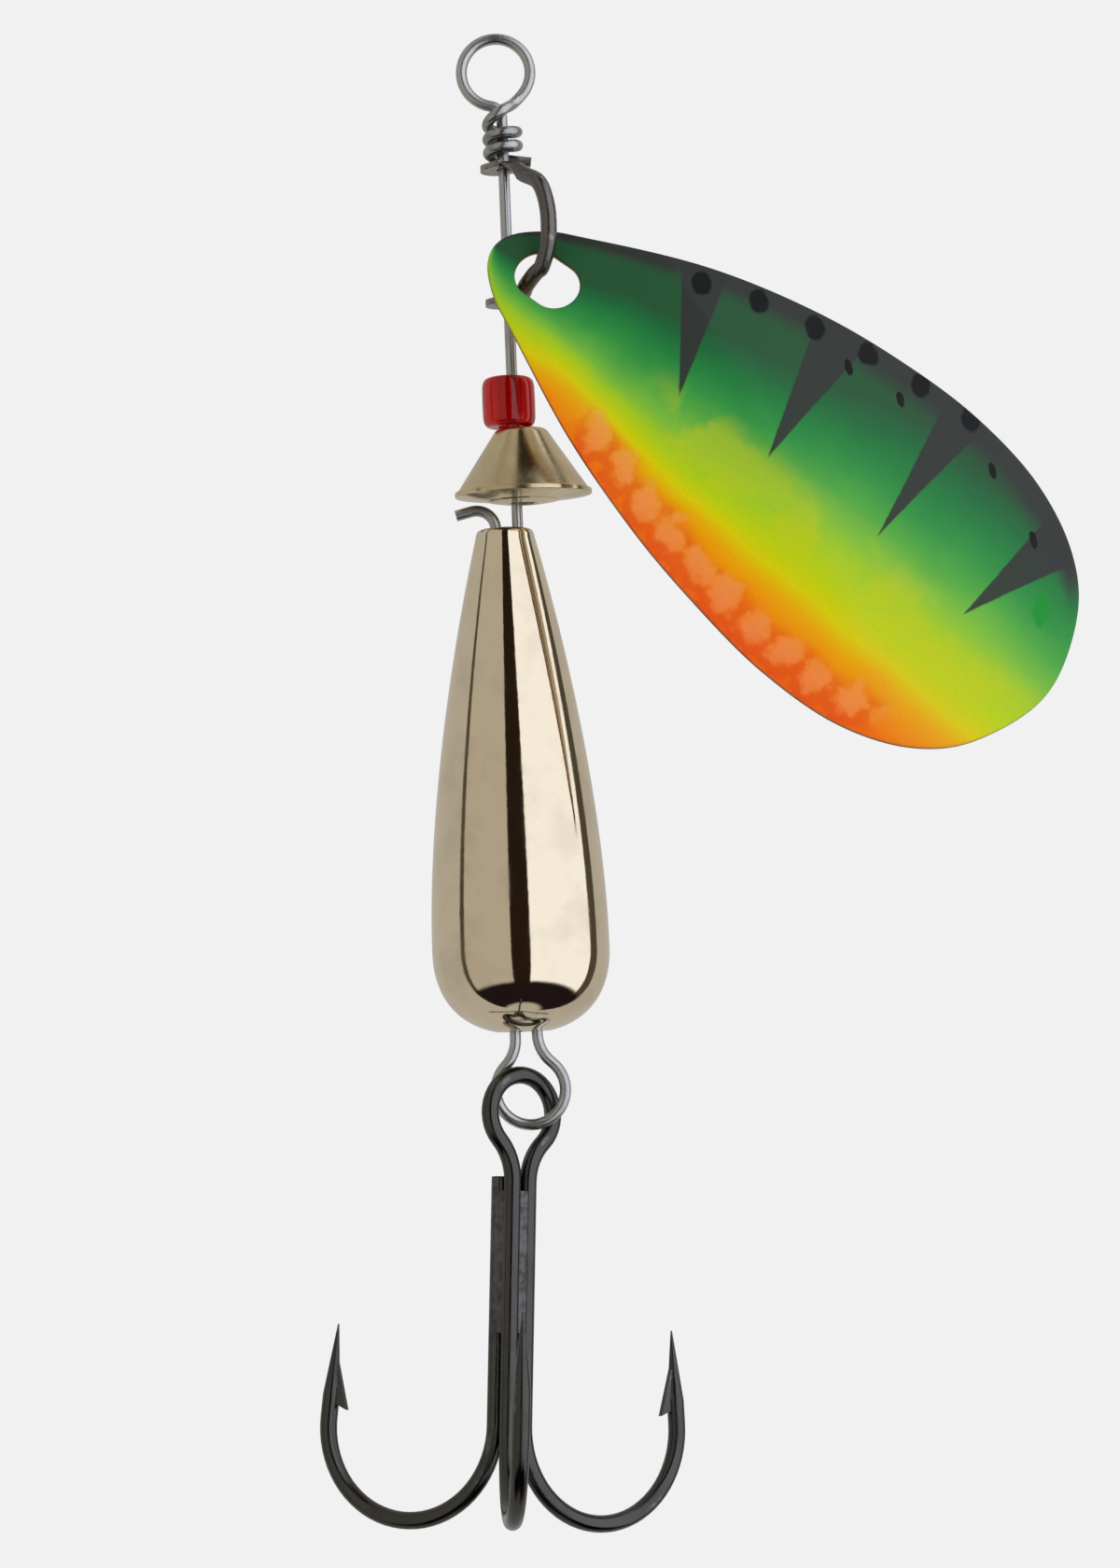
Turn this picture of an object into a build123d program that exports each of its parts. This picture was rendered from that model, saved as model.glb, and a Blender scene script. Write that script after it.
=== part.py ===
# Inline spinner: a wire shaft with a blade on a clevis, a bead, a bell, a drop
# body and a treble hook on the shaft's lower loop. Millimetres. +Z runs up the
# shaft to the line eye, +X is the side the blade swings out to, -Y faces the
# viewer. The origin is on the shaft's axis at the height of the eye's centre.
import math
import os

from build123d import *

# ---- shaft wire ----
WIRE_D = 0.6
EYE_BEND_R = 1.87             # centreline radius of the line eye
EYE_SET_X = -0.24             # the eye's centre lies a little to one side
EYE_NECK_R = 0.70             # bend between the shaft and the eye
EYE_LEAVE_DEG = -42.0         # where the eye's free end leaves its circle
WRAP_R = 0.80                 # centreline radius of the wraps round the shaft
WRAP_PITCH = 0.75
WRAP_TOP_Z = -2.94
WRAP_TURNS = 2.25
WRAP_TAIL = 1.50              # length of the cut end past the last wrap
WRAP_CROSS = (0.12, -0.78, -2.22)   # where the free end crosses the shaft's front

LOOP_X = -0.46                # centre of the lower loop
LOOP_BELOW_BODY = 3.13        # its centre below the body's lower end
LOOP_BEND_R = 1.85
LOOP_SHOULDER_R = 2.0         # bend between each leg and the loop
LEG_GAP = 1.17                # centre distance of the two legs in the body

TAIL_RISE_Z = -25.05          # where the return leg starts to curl over
TAIL_CURL_R = 1.05
TAIL_CURL_DEG = 104.0
TAIL_END = 0.85

# ---- clevis ----
CLEVIS_Z = -8.92              # mid height of the clevis
CLEVIS_TURN_DEG = -48.0       # its bow is turned towards the viewer
CLEVIS_EAR_Z = 3.70           # each ear above or below mid height
CLEVIS_EAR_T = 0.34
CLEVIS_EAR_W = 1.80
CLEVIS_EAR_END = 1.45         # ear's rounded end behind the shaft
CLEVIS_REACH = 3.46           # bow's centreline out from the shaft
CLEVIS_WIRE_D = 0.88
CLEVIS_BORE_R = 0.39
CLEVIS_EAR_LEN = 0.62         # ear's flat from the shaft's axis towards the bow
CLEVIS_BOW_START = (1.50, 3.06)   # out from the shaft, above or below mid height
CLEVIS_BOW_DIR = (0.80, -0.60)    # the wire's direction where the bow starts
# bow's points between its start and its middle: share of the reach, height
CLEVIS_BOW = ((0.79, 2.35), (0.93, 1.50), (0.99, 0.65))
# section where the round wire flattens: out, height, half width, half thickness
CLEVIS_FLAT = (1.08, 3.47, 0.62, 0.30)
CLEVIS_FLAT_DIR = (0.93, -0.37)

# ---- blade ----
BLADE_L = 38.3
BLADE_W = 18.35
BLADE_T = 0.42
BLADE_ARC_LONG = 59.0         # radius of its curve along the blade
BLADE_ARC_CROSS = 26.4        # radius of its curve across the blade
BLADE_HOLE_L = 3.70
BLADE_HOLE_W = 2.66
BLADE_HOLE_IN = 3.58          # hole's centre from the blade's narrow end
BLADE_DROP_DEG = 41.96        # long axis below the horizontal
BLADE_CROSS_TILT_DEG = 7.4    # its upper side leans away from the viewer
BLADE_PITCH_DEG = 0.5         # its wide end leans towards the viewer
SHEET_SPARE_ACROSS_DEG = 4.0  # curved sheet past the blade's sides before trimming
SHEET_SPARE_ALONG_DEG = 6.0   # and past its ends
BLADE_HOLE_X = 2.13
BLADE_HOLE_Y = -2.19
BLADE_HOLE_Z = -11.98
BLADE_BLANK_H = 16.0          # depth of the blank that the curved sheet is cut with
# half width as a share of the widest, at shares of the length from the narrow end
BLADE_OUTLINE = (
    (0.012, 0.13),
    (0.050, 0.265),
    (0.094, 0.355),
    (0.26, 0.665),
    (0.42, 0.865),
    (0.56, 0.965),
    (0.68, 1.0),
    (0.80, 0.945),
    (0.90, 0.765),
    (0.965, 0.475),
)

# ---- bead ----
BEAD_R = 1.43
BEAD_L = 2.66
BEAD_EDGE_R = 0.55
BEAD_BORE_R = 0.60
BEAD_X = -0.22
BEAD_BOTTOM_Z = -19.50

# ---- bell ----
BELL_TOP_R = 1.34
BELL_RIM_R = 3.70
BELL_H = 3.55                 # from the rim's widest circle to the top
BELL_BASE_DROP = 0.55         # how far its shallow base bulges below the rim
BELL_BASE_FLAT = 1.11         # radius of the flat round the bore's lower end
BELL_RIM_H = 0.24             # height of the rim's outer face
BELL_RIM_ROUND = 0.10
BELL_TOP_ROUND = 0.28
BELL_BORE_R = 0.80
BELL_X = 0.38
BELL_RIM_Z = -23.16
BELL_LEAN_DEG = 3.0           # the rim's near side is lifted by the wire's curl

# ---- body ----
BODY_X = -0.70
BODY_TOP_Z = -25.12
BODY_L = 26.95
BODY_R = 4.74
BODY_TOP_R = 1.34
BODY_TOP_ROUND = 0.42
BODY_BORE_R = 1.07
BODY_SHOULDER_R = 1.60        # where the side starts, below the rounded top
BODY_WIDEST_DOWN = 22.6       # depth of the widest circle below the top
# guide points of the side's curve and of the rounded lower end: radius, depth
BODY_SIDE_GUIDES = ((3.20, 6.85), (BODY_R, 15.5))
BODY_END_GUIDES = ((BODY_R, 25.3), (3.20, 26.6))
BODY_FOOT_R = 1.45            # flat round the lower mouth of the bore

# ---- treble hook ----
HOOK_WIRE_D = 0.92
HOOK_SHANK_GAP = 1.00         # centre distance of neighbouring shanks
HOOK_EYE_R = 2.04             # centreline radius of its eye
HOOK_NECK_R = 3.0             # bend between the eye and each shank
HOOK_BEND_Z = -16.40          # from the eye's centre to the start of the bends
HOOK_BEND_R = 4.98
HOOK_BEND_DEG = 185.0
HOOK_SPEAR = 1.2              # straight wire past the bend
HOOK_POINT_L = 3.75
HOOK_POINT_TIP_R = 0.04
HOOK_BARB_L = 1.9
HOOK_BARB_OUT = 0.60
HOOK_BARB_T = 0.30
HOOK_BARB_BACK = 0.75         # the barb's lifted end, behind the point's base
HOOK_BARB_SLANT = 0.30        # the barb's front edge, along the point
HOOK_BARB_SINK = 0.50         # the barb's root inside the point
HOOK_BARB_NOTCH = 0.10        # height of the notch under the lifted end
HOOK_SINGLE_TOP_Z = -3.35     # top end of the single hook's shank
HOOK_SINGLE_TURN_DEG = 96.0   # from the pair's line to the single shank
HOOK_EYE_AZ = 36.5            # plane of the eye, from X
HOOK_AZ_FRONT = -85.0
HOOK_AZ_RIGHT = 35.0
HOOK_AZ_LEFT = 155.0
EYE_SIDE_X = 0.650            # side of the hook's eye that lies beside the loop's right leg
EYE_SIDE_Y = 0.8634
HOOK_BELOW_LOOP = 1.23        # centre of the hook's eye below the loop's centre
HOOK_LEAN_X_DEG = -5.5        # shanks lean towards the viewer
HOOK_LEAN_Y_DEG = 3.2         # and away from the blade's side
BRAZE_FILL_R = 0.38
BRAZE_TOP_Z = -4.15
BRAZE_BOTTOM_Z = -11.6

LOOP_Z = BODY_TOP_Z - BODY_L - LOOP_BELOW_BODY
HOOK_Z = LOOP_Z - HOOK_BELOW_LOOP
HOOK_X = EYE_SIDE_X - HOOK_EYE_R * math.cos(math.radians(HOOK_EYE_AZ))
HOOK_Y = EYE_SIDE_Y - HOOK_EYE_R * math.sin(math.radians(HOOK_EYE_AZ))
WIRE_R = WIRE_D / 2
HOOK_WIRE_R = HOOK_WIRE_D / 2
CLEARANCE = 0.05              # between pieces of one joined shape
EPS = 0.02


def neck_drop(side_x, neck_r, ring_r):
    """Depth below a ring's centre of the bend that leads a leg into it."""
    return math.sqrt((ring_r + neck_r) ** 2 - (side_x + neck_r) ** 2)


def on_circle(centre, radius, degrees):
    a = math.radians(degrees)
    return Vector(centre.X + radius * math.cos(a), 0, centre.Z + radius * math.sin(a))


def arc_xz(centre, radius, start_deg, end_deg):
    """Arc in the XZ plane, angles from +X towards +Z, in either direction."""
    mid_deg = (start_deg + end_deg) / 2
    return ThreePointArc(
        on_circle(centre, radius, start_deg),
        on_circle(centre, radius, mid_deg),
        on_circle(centre, radius, end_deg),
    )


def angle_to(origin, target):
    return math.degrees(math.atan2(target.Z - origin.Z, target.X - origin.X))


def round_wire(edges, radius):
    """Solid round wire along joined edges, swept one edge at a time."""
    pieces = []
    for edge in edges:
        section = Plane(origin=edge @ 0, z_dir=edge % 0) * Circle(radius)
        pieces.append(sweep(section, path=edge))
    return pieces[0].fuse(*pieces[1:])


def wrap_edges(start, start_dir):
    """From the eye's free end, across the shaft's front, round it and off behind it."""
    wraps = Helix(
        WRAP_PITCH,
        WRAP_PITCH * WRAP_TURNS,
        WRAP_R,
        center=(0, 0, WRAP_TOP_Z),
        direction=(0, 0, -1),
    )
    cross = Vector(*WRAP_CROSS)
    lead_in = Spline(start, cross, wraps @ 0, tangents=[start_dir, wraps % 0])
    tail = Line(wraps @ 1, wraps @ 1 + (wraps % 1) * WRAP_TAIL)
    return [lead_in, wraps, tail]


def make_shaft_wire():
    # line eye
    eye = Vector(EYE_SET_X, 0, 0)
    neck_z = -math.sqrt((EYE_BEND_R + EYE_NECK_R) ** 2 - (EYE_NECK_R + EYE_SET_X) ** 2)
    neck = Vector(-EYE_NECK_R, 0, neck_z)
    join_deg = angle_to(eye, neck)
    neck_end_deg = join_deg + 180
    neck_arc = arc_xz(neck, EYE_NECK_R, 0, neck_end_deg)
    eye_arc = arc_xz(eye, EYE_BEND_R, join_deg, EYE_LEAVE_DEG - 360 * (join_deg < 0))
    leave = on_circle(eye, EYE_BEND_R, EYE_LEAVE_DEG)
    leave_a = math.radians(EYE_LEAVE_DEG)
    wraps = wrap_edges(leave, Vector(math.sin(leave_a), 0, -math.cos(leave_a)))

    # lower loop
    loop = Vector(LOOP_X, 0, LOOP_Z)
    reach = LOOP_BEND_R + LOOP_SHOULDER_R
    right = Vector(LOOP_SHOULDER_R, 0, 0)
    right.Z = LOOP_Z + math.sqrt(reach**2 - (right.X - LOOP_X) ** 2)
    left = Vector(-LEG_GAP - LOOP_SHOULDER_R, 0, 0)
    left.Z = LOOP_Z + math.sqrt(reach**2 - (left.X - LOOP_X) ** 2)
    right_join = angle_to(loop, right)
    left_join = angle_to(loop, left)
    shoulder_right = arc_xz(right, LOOP_SHOULDER_R, right_join - 180 + 360, 180)
    loop_arc = arc_xz(loop, LOOP_BEND_R, right_join, left_join - 360)
    shoulder_left = arc_xz(left, LOOP_SHOULDER_R, left_join - 180, 0)

    # return leg and its curl
    curl = Vector(-LEG_GAP - TAIL_CURL_R, 0, TAIL_RISE_Z)
    curl_arc = arc_xz(curl, TAIL_CURL_R, 0, TAIL_CURL_DEG)
    curl_end = on_circle(curl, TAIL_CURL_R, TAIL_CURL_DEG)
    end_a = math.radians(TAIL_CURL_DEG + 90)
    tail_end = curl_end + Vector(math.cos(end_a), 0, math.sin(end_a)) * TAIL_END

    shaft = Line(Vector(0, 0, right.Z), Vector(0, 0, neck_z))
    leg = Line(Vector(-LEG_GAP, 0, left.Z), Vector(-LEG_GAP, 0, TAIL_RISE_Z))
    edges = [
        *wraps,
        eye_arc,
        neck_arc,
        shaft,
        shoulder_right,
        loop_arc,
        shoulder_left,
        leg,
        curl_arc,
        Line(curl_end, tail_end),
    ]
    return round_wire(edges, WIRE_R)


def make_clevis_ear(side):
    """Flattened ear at one end of the bow, with the wire's flattening into it."""
    ear_z = side * CLEVIS_EAR_Z
    flat_out, flat_z, flat_w, flat_t = CLEVIS_FLAT
    start_out, start_z = CLEVIS_BOW_START
    across = (0, 1, 0)
    at_ear = Plane(origin=(CLEVIS_EAR_LEN, 0, ear_z), z_dir=(1, 0, 0), x_dir=across)
    at_flat = Plane(
        origin=(flat_out, 0, side * flat_z),
        z_dir=(CLEVIS_FLAT_DIR[0], 0, side * CLEVIS_FLAT_DIR[1]),
        x_dir=across,
    )
    at_bow = Plane(
        origin=(start_out, 0, side * start_z),
        z_dir=(CLEVIS_BOW_DIR[0], 0, side * CLEVIS_BOW_DIR[1]),
        x_dir=across,
    )
    sections = [
        at_ear * Ellipse(CLEVIS_EAR_W / 2 - CLEARANCE, CLEVIS_EAR_T / 2),
        at_flat * Ellipse(flat_w, flat_t),
        at_bow * Circle(CLEVIS_WIRE_D / 2),
    ]
    length = CLEVIS_EAR_END + CLEVIS_EAR_LEN
    plate = extrude(Rectangle(length, CLEVIS_EAR_W), CLEVIS_EAR_T)
    plate = Pos(CLEVIS_EAR_LEN - length / 2, 0, ear_z - CLEVIS_EAR_T / 2) * plate
    corners = plate.edges().filter_by(Axis.Z).group_by(Axis.X)[0]
    return loft(sections, ruled=False) + fillet(corners, CLEVIS_EAR_W / 2 - EPS)


def make_clevis():
    start_out, start_z = CLEVIS_BOW_START
    upper = [Vector(start_out, 0, start_z)]
    upper += [Vector(share * CLEVIS_REACH, 0, z) for share, z in CLEVIS_BOW]
    lower = [Vector(p.X, 0, -p.Z) for p in reversed(upper)]
    out, down = CLEVIS_BOW_DIR
    bow = Spline(
        *upper,
        Vector(CLEVIS_REACH, 0, 0),
        *lower,
        tangents=[Vector(out, 0, down), Vector(-out, 0, down)],
    )
    clevis = round_wire([bow], CLEVIS_WIRE_D / 2)
    for side in (1, -1):
        clevis += make_clevis_ear(side)
    clevis -= Cylinder(CLEVIS_BORE_R, 3 * CLEVIS_EAR_Z)
    return Pos(0, 0, CLEVIS_Z) * Rot(0, 0, CLEVIS_TURN_DEG) * clevis


def blade_frame():
    """Blade axes: X along the blade from its hole, Y across, Z out of its domed face."""
    drop = math.radians(BLADE_DROP_DEG)
    pitch = math.radians(BLADE_PITCH_DEG)
    tilt = math.radians(BLADE_CROSS_TILT_DEG)
    along = Vector(math.cos(drop), 0, -math.sin(drop))
    across = Vector(math.sin(drop), 0, math.cos(drop))
    viewer = Vector(0, -1, 0)
    along = along * math.cos(pitch) + viewer * math.sin(pitch)
    across = across * math.cos(tilt) - viewer * math.sin(tilt)
    normal = along.cross(across).normalized()
    return Plane(
        origin=(BLADE_HOLE_X, BLADE_HOLE_Y, BLADE_HOLE_Z), x_dir=along, z_dir=normal
    )


def make_blade():
    side = [Vector(s * BLADE_L, w * BLADE_W / 2) for s, w in BLADE_OUTLINE]
    other_side = [Vector(p.X, -p.Y) for p in reversed(side)]
    rim = [Vector(0, 0), *side, Vector(BLADE_L, 0), *other_side]
    outline = make_face(Spline(*rim, periodic=True))
    hole = Pos(BLADE_HOLE_IN, 0, 0) * SlotOverall(BLADE_HOLE_L, BLADE_HOLE_W)
    blank = extrude(outline - hole, BLADE_BLANK_H)
    blank = Pos(-BLADE_HOLE_IN, 0, -BLADE_BLANK_H / 2) * blank

    # sheet curved both ways: an arc across, turned about a line across the blade
    middle_x = BLADE_L / 2 - BLADE_HOLE_IN
    hole_drop = BLADE_ARC_LONG - math.sqrt(BLADE_ARC_LONG**2 - middle_x**2)
    half_across = math.degrees(BLADE_W / 2 / BLADE_ARC_CROSS) + SHEET_SPARE_ACROSS_DEG
    half_along = math.degrees(BLADE_L / 2 / BLADE_ARC_LONG) + SHEET_SPARE_ALONG_DEG
    outer = BLADE_ARC_CROSS
    inner = BLADE_ARC_CROSS - BLADE_T
    ring = Circle(outer) - Circle(inner)
    wedge = Polyline(
        (0, 0),
        (-outer * math.tan(math.radians(half_across)), outer),
        (outer * math.tan(math.radians(half_across)), outer),
        close=True,
    )
    section = Plane.YZ * (Pos(0, -outer) * (ring & make_face(wedge)))
    turn_axis = Axis((0, 0, -BLADE_ARC_LONG), (0, 1, 0))
    sheet = revolve(section.rotate(turn_axis, -half_along), turn_axis, 2 * half_along)
    sheet = Pos(middle_x, 0, hole_drop) * sheet
    return blade_frame() * (blank & sheet).fix()


def make_bead():
    bead = Cylinder(BEAD_R, BEAD_L, align=(Align.CENTER, Align.CENTER, Align.MIN))
    bead = fillet(bead.edges(), BEAD_EDGE_R)
    bead -= Cylinder(BEAD_BORE_R, 3 * BEAD_L)
    return Pos(BEAD_X, 0, BEAD_BOTTOM_Z) * bead


def make_bell():
    half_rim = BELL_RIM_H / 2
    outline = Polyline(
        (0, -BELL_BASE_DROP),
        (BELL_BASE_FLAT, -BELL_BASE_DROP),
        (BELL_RIM_R, -half_rim),
        (BELL_RIM_R, half_rim),
        (BELL_TOP_R, BELL_H),
        (0, BELL_H),
        close=True,
    )
    bell = revolve(Plane.XZ * make_face(outline), Axis.Z, 360)
    circles = bell.edges().filter_by(GeomType.CIRCLE)
    rim = [edge for edge in circles if abs(edge.radius - BELL_RIM_R) < EPS]
    bell = fillet(rim, BELL_RIM_ROUND)
    top = bell.edges().filter_by(GeomType.CIRCLE).sort_by(Axis.Z)[-1]
    bell = fillet(top, BELL_TOP_ROUND)
    bell -= Cylinder(BELL_BORE_R, 4 * BELL_H)
    return Pos(BELL_X, 0, BELL_RIM_Z) * Rot(BELL_LEAN_DEG, 0, 0) * bell


def make_body():
    shoulder = Vector(BODY_SHOULDER_R, -BODY_TOP_ROUND)
    widest = Vector(BODY_R, -BODY_WIDEST_DOWN)
    foot = Vector(BODY_FOOT_R, -BODY_L)
    side_guides = [Vector(r, -down) for r, down in BODY_SIDE_GUIDES]
    end_guides = [Vector(r, -down) for r, down in BODY_END_GUIDES]
    top_edge = Vector(BODY_TOP_R, 0)
    outline = [
        Line(Vector(0, 0), top_edge),
        Bezier(top_edge, Vector(BODY_SHOULDER_R - CLEARANCE, 0), shoulder),
        Bezier(shoulder, *side_guides, widest),
        Bezier(widest, *end_guides, foot),
        Line(foot, Vector(0, -BODY_L)),
        Line(Vector(0, -BODY_L), Vector(0, 0)),
    ]
    profile = Plane.XZ * make_face(outline)
    body = revolve(profile, Axis.Z, 360)
    body -= Cylinder(BODY_BORE_R, 3 * BODY_L)
    return Pos(BODY_X, 0, BODY_TOP_Z) * body


def hook_end(foot, azimuth):
    """Bend, point and barb of one hook, from the foot of its shank outwards."""
    a = math.radians(azimuth)
    out_dir = Vector(math.cos(a), math.sin(a), 0)
    plane = Plane(origin=foot, x_dir=out_dir, z_dir=out_dir.cross(Vector(0, 0, 1)))

    def at(x, y):
        return plane.from_local_coords(Vector(x, y, 0))

    def on_bend(degrees):
        b = math.radians(180 + degrees)
        return at(HOOK_BEND_R * (1 + math.cos(b)), HOOK_BEND_R * math.sin(b))

    bend = ThreePointArc(foot, on_bend(HOOK_BEND_DEG / 2), on_bend(HOOK_BEND_DEG))
    spear_dir = bend % 1
    spear_end = bend @ 1 + spear_dir * HOOK_SPEAR
    spear = Line(bend @ 1, spear_end)
    inward = spear_dir.cross(plane.z_dir) * -1

    point = Plane(origin=spear_end, z_dir=spear_dir) * Cone(
        HOOK_WIRE_R,
        HOOK_POINT_TIP_R,
        HOOK_POINT_L,
        align=(Align.CENTER, Align.CENTER, Align.MIN),
    )

    def barb_at(along, across):
        return spear_end + spear_dir * along + inward * across

    # barb on the side that faces the shank, lifted away from the point
    corners = [
        barb_at(HOOK_BARB_L - HOOK_BARB_SINK, 0),
        barb_at(HOOK_BARB_L - HOOK_BARB_SINK + HOOK_BARB_SLANT, HOOK_WIRE_R / 2),
        barb_at(-HOOK_BARB_BACK, HOOK_WIRE_R + HOOK_BARB_OUT),
        barb_at(-HOOK_BARB_BACK / 2, HOOK_BARB_NOTCH),
    ]
    face = make_face(Polyline(*corners, close=True))
    barb = extrude(face, HOOK_BARB_T / 2, dir=plane.z_dir, both=True)
    return bend, spear, point + barb


def shank_xy():
    """The three shanks in the hook's own frame: two of the double hook, one single."""
    a = math.radians(HOOK_EYE_AZ)
    half = HOOK_SHANK_GAP / 2
    pair_dir = Vector(math.cos(a), math.sin(a), 0)
    front = pair_dir * -half
    right = pair_dir * half
    turn = math.radians(HOOK_EYE_AZ + HOOK_SINGLE_TURN_DEG)
    single = front + Vector(math.cos(turn), math.sin(turn), 0) * HOOK_SHANK_GAP
    return front, right, single


def hook_location():
    return Pos(HOOK_X, HOOK_Y, HOOK_Z) * Rot(HOOK_LEAN_X_DEG, HOOK_LEAN_Y_DEG, 0)


def make_double_hook():
    front, right, single = shank_xy()
    eye_plane = Rot(0, 0, HOOK_EYE_AZ)
    half = HOOK_SHANK_GAP / 2
    drop = neck_drop(half, HOOK_NECK_R, HOOK_EYE_R)
    centre = Vector(0, 0, 0)
    neck_right = Vector(half + HOOK_NECK_R, 0, -drop)
    neck_left = Vector(-half - HOOK_NECK_R, 0, -drop)
    right_join = angle_to(centre, neck_right)
    left_join = 180 - right_join
    eye_edges = [
        arc_xz(neck_left, HOOK_NECK_R, 0, left_join - 180),
        arc_xz(centre, HOOK_EYE_R, left_join, right_join),
        arc_xz(neck_right, HOOK_NECK_R, right_join + 180, 180),
    ]
    eye_edges = [eye_plane * e for e in eye_edges]
    front_foot = Vector(front.X, front.Y, HOOK_BEND_Z)
    right_foot = Vector(right.X, right.Y, HOOK_BEND_Z)
    bend_f, spear_f, point_f = hook_end(front_foot, HOOK_AZ_FRONT)
    bend_r, spear_r, point_r = hook_end(right_foot, HOOK_AZ_RIGHT)
    edges = [
        spear_f,
        bend_f,
        Line(front_foot, Vector(front.X, front.Y, -drop)),
        *eye_edges,
        Line(Vector(right.X, right.Y, -drop), right_foot),
        bend_r,
        spear_r,
    ]
    hook = round_wire(edges, HOOK_WIRE_R) + point_f + point_r
    return hook_location() * hook


def make_single_hook():
    front, right, single = shank_xy()
    top = Vector(single.X, single.Y, HOOK_SINGLE_TOP_Z)
    foot = Vector(single.X, single.Y, HOOK_BEND_Z)
    bend, spear, point = hook_end(foot, HOOK_AZ_LEFT)
    hook = round_wire([Line(top, foot), bend, spear], HOOK_WIRE_R) + point
    return hook_location() * hook


def make_braze():
    centres = shank_xy()
    circles = [Pos(c.X, c.Y) * Circle(BRAZE_FILL_R) for c in centres]
    hull = make_hull([edge for circle in circles for edge in circle.edges()])
    for c in centres:
        hull -= Pos(c.X, c.Y) * Circle(HOOK_WIRE_R)
    braze = Pos(0, 0, BRAZE_BOTTOM_Z) * extrude(hull, BRAZE_TOP_Z - BRAZE_BOTTOM_Z)
    return hook_location() * braze


def main():
    os.makedirs("parts", exist_ok=True)
    makers = {
        "shaft_wire": make_shaft_wire,
        "clevis": make_clevis,
        "blade": make_blade,
        "bead": make_bead,
        "bell": make_bell,
        "body": make_body,
        "double_hook": make_double_hook,
        "single_hook": make_single_hook,
        "braze": make_braze,
    }
    for name, maker in makers.items():
        part = maker()
        part.label = name
        export_step(part, os.path.join("parts", name + ".step"))
        box = part.bounding_box()
        print(name, part.is_valid, len(part.solids()), round(part.volume, 3), box.min, box.max)


main()
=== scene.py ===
"""Looks of an inline spinner: a painted blade, a glass bead, a brass bell, a gold body and a hook."""

import math

import bpy
from bpy.props import FloatProperty, FloatVectorProperty, IntProperty, PointerProperty
from bpy.types import Operator, Panel, PropertyGroup
from mathutils import Matrix, Vector


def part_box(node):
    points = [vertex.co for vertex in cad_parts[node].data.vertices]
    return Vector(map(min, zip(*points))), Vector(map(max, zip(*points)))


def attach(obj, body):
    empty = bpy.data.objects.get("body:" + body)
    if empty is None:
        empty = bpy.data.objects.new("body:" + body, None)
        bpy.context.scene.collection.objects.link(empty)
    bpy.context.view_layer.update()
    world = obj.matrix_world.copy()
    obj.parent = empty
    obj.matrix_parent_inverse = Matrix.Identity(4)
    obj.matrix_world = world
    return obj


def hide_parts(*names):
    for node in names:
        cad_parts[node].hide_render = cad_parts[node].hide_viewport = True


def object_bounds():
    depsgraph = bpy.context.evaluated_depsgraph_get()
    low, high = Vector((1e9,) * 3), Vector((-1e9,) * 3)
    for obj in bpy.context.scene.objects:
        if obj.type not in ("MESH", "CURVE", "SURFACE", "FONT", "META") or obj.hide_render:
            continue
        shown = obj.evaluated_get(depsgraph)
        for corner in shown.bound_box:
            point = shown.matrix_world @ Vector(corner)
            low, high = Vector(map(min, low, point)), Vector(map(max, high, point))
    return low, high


bl_info = {
    "name": "Inline Spinner",
    "version": (1, 0, 0),
    "blender": (4, 5, 0),
    "location": "3D View > Sidebar > Spinner",
    "description": "Builds the finished look of an inline spinner on its packed model",
    "category": "Object",
}

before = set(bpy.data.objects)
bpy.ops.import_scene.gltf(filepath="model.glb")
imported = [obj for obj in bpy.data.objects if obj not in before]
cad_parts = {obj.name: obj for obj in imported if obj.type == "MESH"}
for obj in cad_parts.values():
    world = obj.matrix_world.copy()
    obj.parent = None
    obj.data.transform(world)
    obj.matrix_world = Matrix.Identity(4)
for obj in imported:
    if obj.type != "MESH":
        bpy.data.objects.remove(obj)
CAD_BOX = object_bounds()
MM = 0.001

# ---- blade, in its own axes: s along it from the hole's centre, w across, height out of the dome ----
BLADE_HOLE = Vector((2.13, -2.19, -11.98)) * MM
BLADE_DROP = math.radians(41.96)
BLADE_TILT = math.radians(7.4)
BLADE_PITCH = math.radians(0.5)
BLADE_LENGTH = 38.3
BLADE_WIDTH = 18.35
BLADE_HOLE_IN = 3.58
BLADE_ARC_LONG = 59.0
BLADE_ARC_CROSS = 26.4
BLADE_THICK = 0.42
BLADE_HOLE_LONG = 3.70
BLADE_HOLE_WIDE = 2.66
BLADE_STATIONS = (
    (0.0, 0.0),
    (0.012, 0.13),
    (0.050, 0.265),
    (0.094, 0.355),
    (0.26, 0.665),
    (0.42, 0.865),
    (0.56, 0.965),
    (0.68, 1.0),
    (0.80, 0.945),
    (0.90, 0.765),
    (0.965, 0.475),
    (1.0, 0.0),
)
BLADE_WIDEST = 22.5
BLADE_SPOKES = 256
BLADE_RINGS = 60
EDGE_ROUND = 0.12
EDGE_STEPS = 4

# ---- paint marks on the blade, as (s, w) in millimetres ----
# each spike: its tip, then the near and far ends of its base
SPIKES = (
    ((9.7, -1.0), (6.3, 3.5), (8.0, 4.3)),
    ((15.4, -0.6), (13.0, 6.1), (15.5, 6.3)),
    ((22.5, 0.1), (20.9, 7.2), (23.0, 7.7)),
    ((28.6, 0.0), (28.7, 5.8), (31.5, 6.8)),
)
SPOTS = ((6.5, 5.0), (9.5, 6.2), (12.7, 7.0), (15.8, 7.8), (19.0, 8.4), (22.2, 8.8))
FLECKS = ((15.5, 6.4), (18.7, 6.9), (24.9, 7.3), (28.9, 5.9))
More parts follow.
